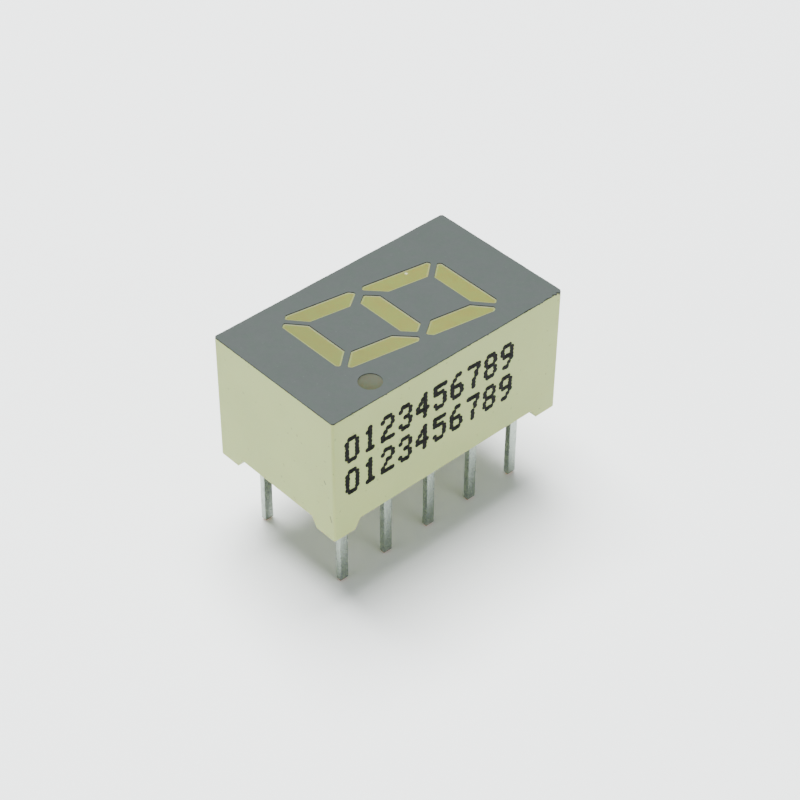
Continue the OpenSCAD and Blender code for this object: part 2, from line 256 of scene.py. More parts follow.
class PinSettings(bpy.types.PropertyGroup):
    """Sizes and colour of the tinned pins."""

    roll: length("Roll", "Rounding of the pins' long edges", 0.035 * MM)
    tip: length("Tip", "Length of the chamfer at a pin's tip", 0.12 * MM)
    waver: length("Waver", "Unevenness of the tinned faces", 0.004 * MM)
    creep: length("Creep", "Height of the resin drawn along each pin", 0.16 * MM)
    # Partly painted reflection: tin's own colour, made darker and greener for the surroundings that the pins
    # reflect
    tin_with_reflection: colour("Tin", "Colour of the tinned faces", (165, 175, 166))


class StageSettings(bpy.types.PropertyGroup):
    """Camera, lights and floor."""

    camera_place: bpy.props.FloatVectorProperty(
        name="Camera place", description="Where the camera stands",
        default=(0.0512055, -0.0465822, 0.0652538), unit="LENGTH", size=3, precision=6
    )
    camera_aim: bpy.props.FloatVectorProperty(
        name="Camera aim", description="Where the camera looks",
        default=(0.0014259, -0.0007264, 0.007), unit="LENGTH", size=3, precision=6
    )
    camera_roll: bpy.props.FloatProperty(
        name="Camera roll", description="Turn of the camera about its own axis",
        default=math.radians(0.4046), subtype="ANGLE"
    )
    camera_lens: bpy.props.FloatProperty(
        name="Lens", description="Focal length for a 36 mm sensor, in millimetres", default=94.23
    )
    floor_size: length("Floor size", "Side of the square floor", 1.2)
    floor: colour("Floor", "Colour of the plain floor", (244, 248, 250))


class Value:
    """A socket of a material's nodes, with arithmetic."""

    def __init__(self, finish, socket):
        self.finish = finish
        self.socket = socket

    def math(self, operation, first, second):
        """A Math node on two values."""
        return self.finish.node("ShaderNodeMath", {"operation": operation}, {0: first, 1: second})

    def __add__(self, other):
        return self.math("ADD", self, other)

    def __radd__(self, other):
        return self.math("ADD", other, self)

    def __sub__(self, other):
        return self.math("SUBTRACT", self, other)

    def __rsub__(self, other):
        return self.math("SUBTRACT", other, self)

    def __mul__(self, other):
        return self.math("MULTIPLY", self, other)

    def __rmul__(self, other):
        return self.math("MULTIPLY", other, self)


class Finish:
    """A procedural material under construction on its principled shader."""

    def __init__(self, name, **constants):
        self.material = bpy.data.materials.new(name)
        self.material.use_nodes = True
        self.tree = self.material.node_tree
        self.shader = self.tree.nodes["Principled BSDF"]
        for key, value in constants.items():
            self.shader.inputs[key.replace("_", " ")].default_value = value
        self.place = self.node("ShaderNodeTexCoord", output="Object")

    def node(self, kind, settings=None, inputs=None, output=0):
        """Adds a node with its settings, which are set first, and the values or links of its sockets."""
        made = self.tree.nodes.new(kind)
        for key, value in (settings or {}).items():
            setattr(made, key, value)
        for key, value in (inputs or {}).items():
            self.feed(made.inputs[key], value)
        return Value(self, made.outputs[output])

    def feed(self, socket, value):
        """Links a value to a socket, or sets the socket to a plain number or colour."""
        if isinstance(value, Value):
            self.tree.links.new(value.socket, socket)
        elif isinstance(value, (tuple, list)) and socket.type == "RGBA":
            socket.default_value = (*value[:3], 1)
        else:
            socket.default_value = value

    def shade(self, socket_name, value):
        """Feeds one of the shader's own sockets."""
        self.feed(self.shader.inputs[socket_name], value)

    def noise(self, size, detail=2.0, roughness=0.5, stretch=(1, 1, 1), offset=0.0):
        """Smooth noise from 0 to 1 whose patches are about size metres wide, longer where stretch is."""
        scale = tuple(1 / (size * s) for s in stretch)
        place = self.node(
            "ShaderNodeMapping", {}, {"Vector": self.place, "Location": (offset,) * 3, "Scale": scale}
        )
        return self.node(
            "ShaderNodeTexNoise", {},
            {"Vector": place, "Scale": 1.0, "Detail": detail, "Roughness": roughness}
        )

    def between(self, value, low, high):
        """0 below low, 1 above high, and a smooth rise from one to the other."""
        return self.node(
            "ShaderNodeMapRange", {"interpolation_type": "SMOOTHSTEP"},
            {0: value, 1: low, 2: high, 3: 0.0, 4: 1.0}
        )

    def mix(self, factor, first, second):
        """The first colour where the factor is 0, and the second where it is 1."""
        return self.node("ShaderNodeMix", {"data_type": "RGBA"}, {0: factor, 6: first, 7: second}, output=2)

    def near(self, point, inner, outer):
        """1 within inner metres of a point, 0 beyond outer."""
        away = self.node(
            "ShaderNodeVectorMath", {"operation": "DISTANCE"}, {0: self.place, 1: tuple(point)},
            output="Value"
        )
        return 1 - self.between(away, inner, outer)

    def along(self, axis):
        """One coordinate of the place on the object."""
        return self.node("ShaderNodeSeparateXYZ", {}, {0: self.place}, output=axis)

    def bump(self, height, depth, strength=1.0):
        """Relief whose full height is depth metres."""
        made = self.node("ShaderNodeBump", {}, {"Strength": strength, "Distance": depth, "Height": height})
        self.shade("Normal", made)


def tinted(shade, factor):
    """A colour made lighter or darker by a factor."""
    return tuple(min(1.0, c * factor) for c in shade)


def plastic_finish(settings):
    """Pale satin moulding: faint clouds, a fine grain, dust specks, scratches and ink run over its edge."""
    finish = Finish(
        "moulded_plastic", Subsurface_Weight=0.12, Subsurface_Scale=0.4 * MM, Specular_IOR_Level=0.3
    )
    shade = tuple(settings.plastic)
    cloud = finish.noise(2.4 * MM, detail=3)
    grain = finish.noise(0.07 * MM, detail=3, roughness=0.65)
    base = finish.mix(finish.between(cloud, 0.3, 0.7), tinted(shade, 0.965), tinted(shade, 1.03))
    base = finish.mix((grain - 0.5) * 0.35 + 0.2, base, tinted(shade, 0.86))
    speck = finish.between(finish.noise(0.16 * MM, detail=0, offset=3.1), 0.80, 0.86)
    base = finish.mix(speck * 0.5, base, tinted(shade, 0.45))
    scuffs = finish.between(finish.noise(0.5 * MM, detail=4, stretch=(1, 1, 0.12), offset=7.7), 0.66, 0.74)
    base = finish.mix(scuffs * 0.18, base, tinted(shade, 1.12))
    ragged = finish.along("Z") + (finish.noise(0.12 * MM, detail=2, offset=9.2) - 0.5) * 0.05 * MM
    run_over = finish.between(ragged, coat_low.z - 0.030 * MM, coat_low.z - 0.012 * MM)
    for along_edge, height, reach in INK_SPOTS:
        run_over = run_over + finish.near((housing_high.x, along_edge, height), reach * 0.6, reach)
    ink = (shade[0] * 0.05, shade[1] * 0.05, shade[2] * 0.07)
    base = finish.mix(finish.between(run_over, 0.0, 0.9) * 0.9, base, ink)
    for low_end, high_end in SCRATCHES:
        scratch = line_mask(finish, low_end, high_end, SCRATCH_HALF_WIDTH)
        base = finish.mix(scratch * 0.8, base, tinted(shade, 0.2))
    finish.shade("Base Color", base)
    finish.shade("Roughness", finish.noise(0.3 * MM, detail=3) * 0.16 + 0.40 - scuffs * 0.1)
    finish.bump(grain + cloud * 4, 0.0025 * MM, 0.55)
    return finish.material


def line_mask(finish, start, end, half_width):
    """1 near the straight line between two points, which fades at its edges."""
    middle = (Vector(start) + Vector(end)) / 2
    way = Vector(end) - Vector(start)
    from_middle = finish.node(
        "ShaderNodeVectorMath", {"operation": "SUBTRACT"}, {0: finish.place, 1: tuple(middle)}
    )
    run = finish.node(
        "ShaderNodeVectorMath", {"operation": "DOT_PRODUCT"}, {0: from_middle, 1: tuple(way.normalized())},
        output="Value"
    )
    reach = finish.node("ShaderNodeVectorMath", {"operation": "LENGTH"}, {0: from_middle}, output="Value")
    off_line = finish.node("ShaderNodeMath", {"operation": "SQRT"}, {0: reach * reach - run * run})
    far_along = finish.node("ShaderNodeMath", {"operation": "ABSOLUTE"}, {0: run})
    on_line = 1 - finish.between(off_line, half_width * 0.4, half_width)
    return on_line * (1 - finish.between(far_along, way.length * 0.4, way.length * 0.5))


def coat_finish(settings):
    """Screen-printed grey coat: mesh grain, faint clouds, patches of violet and green, a brown edge."""
    finish = Finish("printed_coat", Specular_IOR_Level=0.2)
    shade = tuple(settings.coat)
    grain = finish.noise(0.045 * MM, detail=2, roughness=0.7)
    cloud = finish.noise(1.6 * MM, detail=3, offset=1.3)
    base = finish.mix(finish.between(cloud, 0.3, 0.7), tinted(shade, 0.94), tinted(shade, 1.05))
    hue = finish.between(finish.noise(0.45 * MM, detail=2, offset=6.1), 0.35, 0.65)
    violet = (shade[0] * 1.08, shade[1] * 0.96, shade[2] * 1.06)
    green = (shade[0] * 0.94, shade[1] * 1.02, shade[2] * 0.95)
    base = finish.mix(0.55, base, finish.mix(hue, violet, green))
    base = finish.mix((grain - 0.5) * 1.3 + 0.3, base, tinted(shade, 1.14))
    dust = finish.between(finish.noise(0.12 * MM, detail=0, offset=5.5), 0.80, 0.85)
    base = finish.mix(dust * 0.35, base, tinted(shade, 1.7))
    on_edge = 1 - finish.between(finish.along("Z"), coat_high.z - 0.014 * MM, coat_high.z - 0.002 * MM)
    base = finish.mix(on_edge * 0.85, base, (shade[0] * 0.5, shade[1] * 0.45, shade[2] * 0.28))
    finish.shade("Base Color", base)
    finish.shade("Roughness", finish.noise(0.2 * MM, detail=2) * 0.14 + 0.58)
    finish.bump(grain, 0.003 * MM, 0.6)
    return finish.material


def resin_finish(settings, name="cast_resin", tone=1.0):
    """Diffusing resin: milky clouds, fine filler grain and a few tiny bubbles near the surface."""
    finish = Finish(name, Subsurface_Weight=0.25, Subsurface_Scale=0.5 * MM, Specular_IOR_Level=0.35)
    shade = tinted(tuple(settings.resin), tone)
    cloud = finish.noise(0.6 * MM, detail=3, offset=2.2)
    grain = finish.noise(0.05 * MM, detail=2, roughness=0.7)
    warm = (shade[0] * 1.08, shade[1] * 0.90, shade[2] * 0.86)
    base = finish.mix(finish.between(cloud, 0.35, 0.65) * 0.8, tinted(shade, 1.03), warm)
    base = finish.mix((grain - 0.5) * 0.9 + 0.25, base, tinted(shade, 1.18))
    bubble = finish.between(finish.noise(0.09 * MM, detail=0, offset=8.1), 0.79, 0.84)
    base = finish.mix(bubble * 0.3, base, tinted(shade, 1.5))
    finish.shade("Base Color", base)
    finish.shade("Roughness", finish.noise(0.25 * MM, detail=2) * 0.15 + 0.33)
    finish.bump(cloud * 3 + grain * 0.4, 0.002 * MM, 0.5)
    return finish


def window_finish(settings):
    """The resin as the strokes show it: a rim with a painted highlight, a painted highlight on the edges on
    one side and a painted shadow on the others, and one fleck.
    """
    finish = resin_finish(settings, "stroke_resin")
    base = finish.shader.inputs["Base Color"].links[0].from_socket
    painted_edge_light = finish.node("ShaderNodeAttribute", {"attribute_name": "painted_edge_light"}, output="Fac")
    rim_highlight = finish.node("ShaderNodeAttribute", {"attribute_name": "rim_highlight"}, output="Fac")
    # Painted highlight on the stroke edges that face one way, painted shadow on the edges that face the
    # other way
    near_edge_highlight = finish.between(painted_edge_light, 0.0, 0.5)
    far_edge_shadow = finish.between(painted_edge_light * -1, 0.0, 0.45)
    nearer = 1 - finish.between(finish.along("Y"), -4 * MM, 1 * MM)
    base = finish.mix(nearer * 0.5, Value(finish, base), tinted(tuple(settings.resin), 0.78))
    # Painted highlight along each stroke's rim
    base = finish.mix(rim_highlight * 0.5, base, tuple(settings.rim))
    base = finish.mix(near_edge_highlight * 0.4, base, tuple(settings.rim))
    base = finish.mix(far_edge_shadow * 0.85, base, tinted(tuple(settings.point), 0.3))
    fleck = finish.near(FLECK, 0.03 * MM, 0.11 * MM) * finish.between(finish.noise(0.05 * MM), 0.35, 0.6)
    finish.shade("Base Color", finish.mix(fleck, base, FLECK_SHADE))
    return finish.material


def point_finish(settings):
    """The decimal point's resin under a thin film of ink, greyer far from the front, with a painted shadow
    arc at its left.
    """
    finish = Finish(
        "point_resin", Subsurface_Weight=0.15, Subsurface_Scale=0.3 * MM, Specular_IOR_Level=0.12
    )
    shade = tuple(settings.point)
    cloud = finish.noise(0.3 * MM, detail=3)
    grain = finish.noise(0.05 * MM, detail=2, roughness=0.7)
    base = finish.mix(finish.between(cloud, 0.35, 0.65), tinted(shade, 0.95), tinted(shade, 1.05))
    middle = point_place(settings)
    reach = settings.point_size / 2
    nearer = finish.along("X") - finish.along("Y") - (middle.x - middle.y)
    far_side = (shade[0] * 1.08, shade[1] * 1.12, shade[2] * 1.45)
    near_side = (shade[0] * 0.82, shade[1] * 0.86, shade[2] * 0.74)
    sides = finish.mix(finish.between(nearer, -reach * 0.6, reach), far_side, near_side)
    base = finish.mix(0.75, base, sides)
    # Painted shadow: a dark arc where the dish's left wall is turned from the light
    shadow_arc = 1 - finish.near((middle.x + reach * 0.16, middle.y, coat_high.z), reach * 0.92, reach * 1.12)
    base = finish.mix(shadow_arc * 0.45, base, tinted(tuple(settings.point), 0.4))
    finish.shade("Base Color", finish.mix((grain - 0.5) + 0.3, base, tinted(shade, 1.15)))
    finish.shade("Roughness", grain * 0.15 + 0.55)
    finish.bump(grain, 0.002 * MM, 0.5)
    return finish.material


def tin_finish(name, shade, roughness=0.2, dull=0.35):
    """Bright tin: drawn streaks along the pin, dull patches, slight ripples and bare metal at the tip."""
    finish = Finish(name, Metallic=1.0)
    streaks = finish.noise(0.04 * MM, detail=3, stretch=(1, 1, 14))
    patches = finish.noise(0.35 * MM, detail=3, offset=4.4)
    dulled = finish.between(patches, 0.5, 0.72)
    base = finish.mix(finish.between(streaks, 0.3, 0.7), tinted(shade, 0.88), shade)
    base = finish.mix(dulled * dull, base, tinted(shade, 0.62))
    cut_end = 1 - finish.between(finish.along("Z") + (patches - 0.5) * 0.15 * MM, 0.05 * MM, 0.13 * MM)
    finish.shade("Base Color", finish.mix(cut_end * 0.9, base, BARE_METAL))
    finish.shade("Metallic", 1 - cut_end * 0.8)
    finish.shade("Roughness", streaks * 0.12 + dulled * 0.18 + roughness)
    finish.bump(streaks * 0.6 + patches * 2, 0.006 * MM, 0.6)
    return finish.material


def speckled_finish(name, shade, second, patch, metallic=0.0, roughness=0.4):
    """A small hidden piece's finish: two shades in patches, with an uneven gloss."""
    finish = Finish(name, Metallic=metallic)
    patches = finish.noise(patch, detail=3, roughness=0.6)
    finish.shade("Base Color", finish.mix(finish.between(patches, 0.35, 0.65), shade, second))
    finish.shade("Roughness", patches * 0.2 + roughness)
    finish.bump(patches, patch * 0.05, 0.5)
    return finish.material


def laminate_finish():
    """Glass-cloth laminate: woven threads under a green-yellow resin."""
    finish = Finish("glass_laminate", IOR=1.55)
    across, along = (
        finish.node(
            "ShaderNodeTexWave", {"bands_direction": way},
            {"Vector": finish.place, "Scale": WEAVE_SCALE, "Distortion": WEAVE_WAVER}
        )
        for way in "XY"
    )
    weave = across * along
    finish.shade("Base Color", finish.mix(weave, *LAMINATE_SHADES))
    finish.shade("Roughness", weave * 0.15 + 0.35)
    finish.bump(weave, 0.004 * MM, 0.5)
    return finish.material


def mark_finish(settings):
    """Jet-printed ink, slightly uneven in its black."""
    finish = Finish("printed_mark", Specular_IOR_Level=0.06)
    shade = tuple(settings.mark)
    patches = finish.noise(0.08 * MM, detail=2)
    base = finish.mix(finish.between(patches, 0.35, 0.7), tinted(shade, 0.8), tinted(shade, 1.6))
    finish.shade("Base Color", base)
    finish.shade("Roughness", patches * 0.2 + 0.42)
    finish.bump(patches, 0.003 * MM, 0.4)
    return finish.material


def floor_finish(settings):
    """A plain pale sheet with the faintest unevenness."""
    finish = Finish("plain_floor")
    shade = tuple(settings.floor)
    finish.shade("Base Color", finish.mix(finish.noise(0.02), tinted(shade, 0.985), shade))
    finish.shade("Roughness", finish.noise(0.004) * 0.05 + 0.75)
    return finish.material


def clear_selection():
    """Leaves object mode with nothing selected, so that an operator acts on new work alone."""
    if bpy.context.object and bpy.context.object.mode != "OBJECT":
        bpy.ops.object.mode_set(mode="OBJECT")
    bpy.ops.object.select_all(action="DESELECT")


def named(name):
    """Names the active object, puts its place in its mesh and returns it."""
    made = bpy.context.object
    made.name = made.data.name = name
    bpy.ops.object.transform_apply(location=True, rotation=True, scale=True)
    return made


def block(name, low, high):
    """A cube primitive between two corners, ready to be shaped."""
    clear_selection()
    low, high = Vector(low), Vector(high)
    bpy.ops.mesh.primitive_cube_add(size=1, location=(low + high) / 2, scale=high - low)
    return named(name)


def take(obj, kind, test):
    """Enters edit mode and selects the faces, edges or vertices that pass a test."""
    clear_selection()
    bpy.context.view_layer.objects.active = obj
    obj.select_set(True)
    bpy.ops.object.mode_set(mode="EDIT")
    bpy.ops.mesh.select_mode(type=kind)
    bpy.ops.mesh.select_all(action="DESELECT")
    shape = bmesh.from_edit_mesh(obj.data)
    parts = {"FACE": shape.faces, "EDGE": shape.edges, "VERT": shape.verts}[kind]
    for part in parts:
        if test(part):
            part.select_set(True)
    bmesh.update_edit_mesh(obj.data)


def upright(edge):
    """True for an edge that runs along Z."""
    way = (edge.verts[1].co - edge.verts[0].co).normalized()
    return abs(way.z) > 0.99


def modify(obj, kind, **settings):
    """Adds a modifier and applies it."""
    clear_selection()
    bpy.context.view_layer.objects.active = obj
    obj.select_set(True)
    modifier = obj.modifiers.new(kind.lower(), kind)
    for key, value in settings.items():
        setattr(modifier, key, value)
    bpy.ops.object.modifier_apply(modifier=modifier.name)
    return obj


def carve(obj, cutter, operation="DIFFERENCE"):
    """Cuts a cutter out of an object, or joins it on, and removes the cutter."""
    modify(obj, "BOOLEAN", object=cutter, operation=operation, solver="EXACT")
    bpy.data.meshes.remove(cutter.data)
    return obj


def soften(obj, width, segments=2, angle=40):
    """Rounds the sharp edges and smooths the shading across them."""
    modify(
        obj, "BEVEL", width=width, segments=segments, limit_method="ANGLE", angle_limit=math.radians(angle),
        use_clamp_overlap=True
    )
    return smooth(obj, angle)


def smooth(obj, angle=40):
    """Smooths the shading over all edges that turn by less than an angle."""
    clear_selection()
    bpy.context.view_layer.objects.active = obj
    obj.select_set(True)
    bpy.ops.object.shade_smooth_by_angle(angle=math.radians(angle))
    return modify(obj, "WEIGHTED_NORMAL", keep_sharp=True)


def dress(obj, finish, slot, *nodes):
    """Gives a finished piece its material and its body, and hides the nodes that it stands for. The slot is
    not used.
    """
    clear_selection()
    obj.data.materials.clear()
    obj.data.materials.append(finish)
    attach(obj, BODY)
    if nodes:
        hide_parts(*nodes)
    return obj


def flat_stroke(digit, s):
    """Outline of the top or bottom stroke of the upright digit."""
    out_x, out_y = digit.width / 2, digit.height / 2
    in_x, in_y = out_x - digit.stroke, out_y - digit.stroke
    run = digit.mitre_gap * math.sqrt(2)
    made = []
    for side, blunt in ((s, digit.blunt), (-s, digit.blunt_wide)):
        end = [
            (side * (in_x - run), s * in_y),
            (side * (out_x - run - blunt), s * (out_y - blunt)),
            (side * (out_x - run - 2 * blunt), s * out_y),
        ]
        made += end[::side * s]
    return made


def upright_stroke(digit, sx, sy):
    """Outline of one of the four upright strokes."""
    out_x, out_y = digit.width / 2, digit.height / 2
    in_x, in_y = out_x - digit.stroke, out_y - digit.stroke
    run = digit.mitre_gap * math.sqrt(2)
    blunt = digit.blunt if sx == sy else digit.blunt_wide
    points = [
        (out_x, out_y - run - 2 * blunt),
        (out_x - blunt, out_y - run - blunt),
        (in_x, in_y - run),
        (in_x, (digit.middle_stroke + digit.stroke) / 2),
        (out_x - digit.blunt, digit.waist_gap),
        (out_x, digit.waist_gap + digit.blunt),
    ]
    return [(sx * x, sy * y) for x, y in points]


def middle_stroke(digit):
    """Outline of the middle stroke, pointed at both ends."""
    in_x = digit.width / 2 - digit.stroke
    half = digit.middle_stroke / 2
    inner = in_x - digit.middle_gap / 4
    tip = in_x + digit.stroke / 2 - digit.middle_gap / 2
    return [(inner, half), (-inner, half), (-tip, 0), (-inner, -half), (inner, -half), (tip, 0)]


def stroke_outlines(digit):
    """The seven slanted outlines in the order a to g, each anticlockwise."""
    flat = [
        flat_stroke(digit, 1),
        upright_stroke(digit, 1, 1),
        upright_stroke(digit, 1, -1),
        flat_stroke(digit, -1),
        upright_stroke(digit, -1, -1),
        upright_stroke(digit, -1, 1),
        middle_stroke(digit),
    ]
    lean = math.tan(digit.slant)
    slanted = [[Vector((x + y * lean, y)) for x, y in outline] for outline in flat]
    return [outline if area(outline) > 0 else outline[::-1] for outline in slanted]


def area(points):
    """Signed area of an outline, positive if it runs anticlockwise."""
    return sum(a.x * b.y - b.x * a.y for a, b in zip(points, points[1:] + points[:1])) / 2


def softened(points, radius, steps=4):
    """The outline with an arc at each corner."""
    made = []
    for i, here in enumerate(points):
        to_last = (points[i - 1] - here).normalized()
        to_next = (points[(i + 1) % len(points)] - here).normalized()
        half = math.acos(max(-1, min(1, to_last.dot(to_next)))) / 2
        centre = here + (to_last + to_next).normalized() * radius / math.sin(half)
        first = here + to_last * radius / math.tan(half) - centre
        for k in range(steps + 1):
            t = (math.pi - 2 * half) * k / steps
            made.append(centre + Vector((first.x * math.cos(t) - first.y * math.sin(t),
                                         first.x * math.sin(t) + first.y * math.cos(t))))
    return made


def grown(points, margin):
    """The corners of an anticlockwise outline moved out so that each side moves by margin."""
    made = []
    for i, here in enumerate(points):
        last_way = (here - points[i - 1]).normalized()
        next_way = (points[(i + 1) % len(points)] - here).normalized()
        out = Vector((last_way.y + next_way.y, -last_way.x - next_way.x)).normalized()
        made.append(here + out * margin / out.dot(Vector((next_way.y, -next_way.x))))
    return made


def prism(name, low_points, high_points, low_z, high_z):
    """A lofted block: a disc primitive shaped to one outline, extruded and shaped to the other."""
    clear_selection()
    bpy.ops.mesh.primitive_circle_add(vertices=len(low_points), radius=MM, fill_type="NGON")
    made = named(name)
    for vertex, point in zip(made.data.vertices, low_points):
        vertex.co = (point.x, point.y, low_z)
    take(made, "FACE", lambda face: True)
    bpy.ops.mesh.extrude_region_move(TRANSFORM_OT_translate={"value": (0, 0, high_z - low_z)})
    bpy.ops.object.mode_set(mode="OBJECT")
    upper = [v for v in made.data.vertices if v.co.z > (low_z + high_z) / 2]
    for vertex in upper:
        place = min(range(len(low_points)), key=lambda k: (vertex.co.xy - low_points[k]).length)
        vertex.co.xy = high_points[place]
    take(made, "FACE", lambda face: True)
    bpy.ops.mesh.normals_make_consistent(inside=False)
    bpy.ops.object.mode_set(mode="OBJECT")
    return made


def stroke_wells(digit):
    """Each stroke's name, its outline on the face and the smaller outline of its light well at the board."""
    for name, outline in zip(STROKES, stroke_outlines(digit)):
        mouth = softened(outline, digit.softening)
        centre = sum(outline, Vector((0, 0))) / len(outline)
        along = Vector((1, 0))
        if name in UPRIGHT_STROKES:
            along = Vector((math.sin(digit.slant), math.cos(digit.slant)))
        across = Vector((-along.y, along.x))
        floor = [
            centre + along * (p - centre).dot(along) * digit.floor_length
            + across * (p - centre).dot(across) * digit.floor_width
            for p in mouth
        ]
        yield name, mouth, floor


def point_place(digit):
    """The middle of the decimal point on the face."""
    return Vector((housing_high.x - digit.point_inset, housing_low.y + digit.point_end))


def disc(name, middle, radius, low_z, high_z, vertices=48):
    """A round block, ready to be shaped."""
    clear_selection()
    bpy.ops.mesh.primitive_cylinder_add(
        vertices=vertices, radius=radius, depth=high_z - low_z,
        location=(middle.x, middle.y, (low_z + high_z) / 2)
    )
    return named(name)


def pin_place(number):
    """The middle of a numbered pin, as the frame has it."""
    low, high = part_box(f"pin_{number}")
    return ((low + high) / 2).xy


class DISPLAY_OT_housing(bpy.types.Operator):
    """Moulds the housing: a rounded block with a back cavity, corner feet and eight light wells"""

    bl_idname = "display.housing"
    bl_label = "Housing"

    def execute(self, context):
        sizes = context.scene.display_moulding
        digit = context.scene.display_digit
        made = block("housing_moulding", housing_low, housing_high)
        take(made, "EDGE", upright)
        bpy.ops.mesh.bevel(offset=sizes.corner_radius, segments=8, affect="EDGES")
        bpy.ops.object.mode_set(mode="OBJECT")
        self.hollow_back(made, sizes, digit)
        self.cut_feet(made, sizes)
        soften(made, sizes.edge_softness)
        self.cut_wells(made, digit)
        smooth(made)
        dress(made, plastic_finish(sizes), "moulding", "housing")
        return {"FINISHED"}

    def hollow_back(self, made, sizes, digit):
        """Cuts the cavity behind the light wells, which takes the board and the resin."""
        inset = Vector((sizes.wall, sizes.wall, 0))
        low = housing_low + inset
        high = housing_high - inset
        low.z -= OVERLAP
        high.z = board_high.z + digit.relief
        carve(made, block("cavity", low, high))

    def cut_feet(self, made, sizes):
        """Cuts sloped notches across both ways, which leave a foot at each corner."""
        rim = housing_low.z + sizes.foot_height
        for axis in (0, 1):
            low, high = housing_low.copy(), housing_high.copy()
            low[axis] -= OVERLAP
            high[axis] += OVERLAP
            low[1 - axis] += sizes.foot_width
            high[1 - axis] -= sizes.foot_width
            cutter = block("notch", (low.x, low.y, housing_low.z), (high.x, high.y, rim))
            take(cutter, "FACE", lambda face: face.normal.z > 0.9)
            span = (high - low)[1 - axis]
            narrowed = [1, 1, 1]
            narrowed[1 - axis] = (span - 2 * sizes.foot_slope) / span
            bpy.ops.transform.resize(value=narrowed, center_override=(0, 0, rim))
            take(cutter, "FACE", lambda face: face.normal.z < -0.9)
            bpy.ops.mesh.extrude_region_move(TRANSFORM_OT_translate={"value": (0, 0, -OVERLAP)})
            bpy.ops.object.mode_set(mode="OBJECT")
            carve(made, cutter)

    def cut_wells(self, made, digit):
        """Cuts seven flared wells and a round one, open from the cavity to the face."""
        low_z = board_high.z + digit.relief - OVERLAP
        high_z = housing_high.z + OVERLAP
        for _, mouth, floor in stroke_wells(digit):
            carve(made, prism("well", floor, mouth, low_z, high_z))
        carve(made, disc("well", point_place(digit), digit.point_size / 2, low_z, high_z))


class DISPLAY_OT_face(bpy.types.Operator):
    """Prints the face: a thin coat with an uneven outer edge and windows over the strokes"""

    bl_idname = "display.face"
    bl_label = "Printed face"

    def execute(self, context):
        sizes = context.scene.display_moulding
        digit = context.scene.display_digit
        edge = self.wavering_edge(sizes)
        made = prism("printed_face", edge, edge, coat_low.z, coat_high.z)
        low_z, high_z = coat_low.z - OVERLAP, coat_high.z + OVERLAP
        for outline in stroke_outlines(digit):
            window = softened(grown(outline, sizes.print_margin), digit.softening + sizes.print_margin)
            carve(made, prism("window", window, window, low_z, high_z))
        carve(made, disc("window", point_place(digit), digit.point_size / 2, low_z, high_z))
        smooth(made, 30)
        dress(made, coat_finish(sizes), "face_ink", "face_coat")
        return {"FINISHED"}

    def wavering_edge(self, sizes):
        """The rounded outline of the face, in even steps, pushed in by waves and out by bulges."""
        half_x, half_y, radius = housing_high.x, housing_high.y, sizes.corner_radius
        outline = softened(
            [Vector((half_x, -half_y)), Vector((half_x, half_y)), Vector((-half_x, half_y)),
             Vector((-half_x, -half_y))], radius, steps=8
        )
        chance = random.Random(5)
        walked = []
        for here, there in zip(outline, outline[1:] + outline[:1]):
            steps = max(1, round((there - here).length / EDGE_STEP))
            walked += [here.lerp(there, k / steps) for k in range(steps)]
        made = []
        turn = 0.0
        for place in walked:
            turn = 0.7 * turn + chance.uniform(-1, 1)
            slow = math.sin(place.y * 2.1 / MM + place.x * 3.3 / MM) * 0.5 + 0.5
            inward = sizes.print_waver * (0.4 * slow + 0.3 * abs(turn))
            if place.x > half_x - radius:
                for middle, reach, out in BULGES:
                    inward -= out * max(0, 1 - ((place.y - middle) / reach) ** 2)
            made.append(Vector((place.x * (1 - inward / half_x), place.y * (1 - max(0, inward) / half_y))))
        return made


